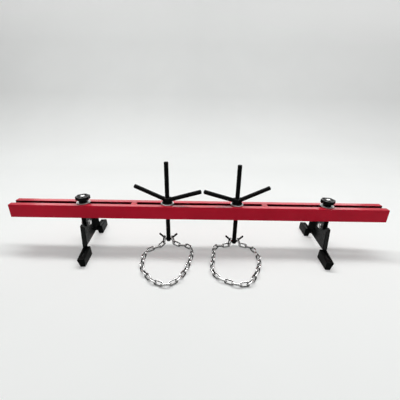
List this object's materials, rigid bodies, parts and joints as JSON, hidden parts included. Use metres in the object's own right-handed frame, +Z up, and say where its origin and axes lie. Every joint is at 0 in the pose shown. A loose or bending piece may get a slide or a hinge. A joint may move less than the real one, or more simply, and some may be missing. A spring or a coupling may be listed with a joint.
{
  "type": "engine support frame",
  "caption": "Slotted double-rail beam on clamped, rocking legs with rubber feet; screw hooks with wing nuts carry chain loops to hold up an engine from above.",
  "frame": {"origin": "on the floor, under the middle of the beam", "axes": "+X along the beam to the right, +Y to the rear, +Z up; the chains lie in front, on -Y"},
  "size_m": [1.524, 0.4445, 0.37],
  "materials": {
    "red_paint": "gloss",
    "black_paint": "satin",
    "black_steel": "matte",
    "black_cap": "matte",
    "moulded_knob": "gloss",
    "rubber": "matte",
    "zinc": "zinc plated",
    "chain_zinc": "zinc plated",
    "brass": "machined"
  },
  "bodies": {
    "beam": {"front_rail": "red_paint", "rear_rail": "red_paint", "left_bridge": "red_paint", "right_bridge": "red_paint", "end_spacers": "red_paint", "rail_end_caps": "black_cap"},
    "left_leg_carriage": {"left_clamp_washer": "zinc"},
    "left_leg_bracket": {"left_clamp_bracket": "black_paint", "left_clamp_stud": "zinc", "left_pivot_bolt": "zinc", "left_pivot_nut": "zinc", "left_pivot_washers": "zinc", "left_pivot_spacer": "zinc"},
    "left_leg": {"left_leg_plate": "black_paint", "left_front_foot": "rubber", "left_rear_foot": "rubber"},
    "left_knob": {"left_clamp_knob": "moulded_knob", "left_knob_insert": "brass"},
    "right_leg_carriage": {"right_clamp_washer": "zinc"},
    "right_leg_bracket": {"right_clamp_bracket": "black_paint", "right_clamp_stud": "zinc", "right_pivot_bolt": "zinc", "right_pivot_nut": "zinc", "right_pivot_washers": "zinc", "right_pivot_spacer": "zinc"},
    "right_leg": {"right_leg_plate": "black_paint", "right_front_foot": "rubber", "right_rear_foot": "rubber"},
    "right_knob": {"right_clamp_knob": "moulded_knob", "right_knob_insert": "brass"},
    "left_hook_carriage": {"left_thrust_washer": "zinc"},
    "left_nut": {"left_wing_nut_hub": "black_steel", "left_wing_nut_arms": "black_steel"},
    "left_screw": {"left_lift_rod": "black_steel", "left_hook_horns": "black_steel", "left_chain": "chain_zinc"},
    "right_hook_carriage": {"right_thrust_washer": "zinc"},
    "right_nut": {"right_wing_nut_hub": "black_steel", "right_wing_nut_arms": "black_steel"},
    "right_screw": {"right_lift_rod": "black_steel", "right_hook_horns": "black_steel", "right_chain": "chain_zinc"}
  },
  "joints": [
    {"name": "left_leg_slide", "type": "slide", "parent": "beam", "child": "left_leg_carriage", "axis": [1, 0, 0], "range_m": [-0.235, 0.11]},
    {"name": "left_leg_swivel", "type": "hinge", "parent": "left_leg_carriage", "child": "left_leg_bracket", "pos_m": [-0.478, 0, 0.14], "axis": [0, 0, 1], "range_deg": [-25, 25]},
    {"name": "left_leg_rock", "type": "hinge", "parent": "left_leg_bracket", "child": "left_leg", "pos_m": [-0.478, 0, 0.103], "axis": [0.9962, 0.0872, 0], "range_deg": [-15, 15]},
    {"name": "left_knob_turn", "type": "hinge", "parent": "left_leg_bracket", "child": "left_knob", "pos_m": [-0.478, 0, 0.21], "axis": [0, 0, 1], "continuous": true},
    {"name": "right_leg_slide", "type": "slide", "parent": "beam", "child": "right_leg_carriage", "axis": [1, 0, 0], "range_m": [-0.11, 0.19]},
    {"name": "right_leg_swivel", "type": "hinge", "parent": "right_leg_carriage", "child": "right_leg_bracket", "pos_m": [0.5235, 0, 0.14], "axis": [0, 0, 1], "range_deg": [-25, 25]},
    {"name": "right_leg_rock", "type": "hinge", "parent": "right_leg_bracket", "child": "right_leg", "pos_m": [0.5235, 0, 0.103], "axis": [-0.9976, 0.0698, 0], "range_deg": [-15, 15]},
    {"name": "right_knob_turn", "type": "hinge", "parent": "right_leg_bracket", "child": "right_knob", "pos_m": [0.5235, 0, 0.21], "axis": [0, 0, 1], "continuous": true},
    {"name": "left_hook_slide", "type": "slide", "parent": "beam", "child": "left_hook_carriage", "axis": [1, 0, 0], "range_m": [-0.115, 0]},
    {"name": "left_nut_turn", "type": "hinge", "parent": "left_hook_carriage", "child": "left_nut", "pos_m": [-0.135, 0, 0.21], "axis": [0, 0, 1], "range_deg": [-14400, 21600]},
    {"name": "left_rod_lift", "type": "slide", "parent": "left_hook_carriage", "child": "left_screw", "axis": [0, 0, 1], "range_m": [-0.1201, 0.0801]},
    {"name": "right_hook_slide", "type": "slide", "parent": "beam", "child": "right_hook_carriage", "axis": [1, 0, 0], "range_m": [0, 0.092]},
    {"name": "right_nut_turn", "type": "hinge", "parent": "right_hook_carriage", "child": "right_nut", "pos_m": [0.151, 0, 0.21], "axis": [0, 0, 1], "range_deg": [-14400, 21600]},
    {"name": "right_rod_lift", "type": "slide", "parent": "right_hook_carriage", "child": "right_screw", "axis": [0, 0, 1], "range_m": [-0.1201, 0.0801]}
  ],
  "couplings": [
    {"joint": "left_rod_lift", "follows": "left_nut_turn", "m_per_rad": -0.00031831},
    {"joint": "right_rod_lift", "follows": "right_nut_turn", "m_per_rad": -0.00031831}
  ]
}
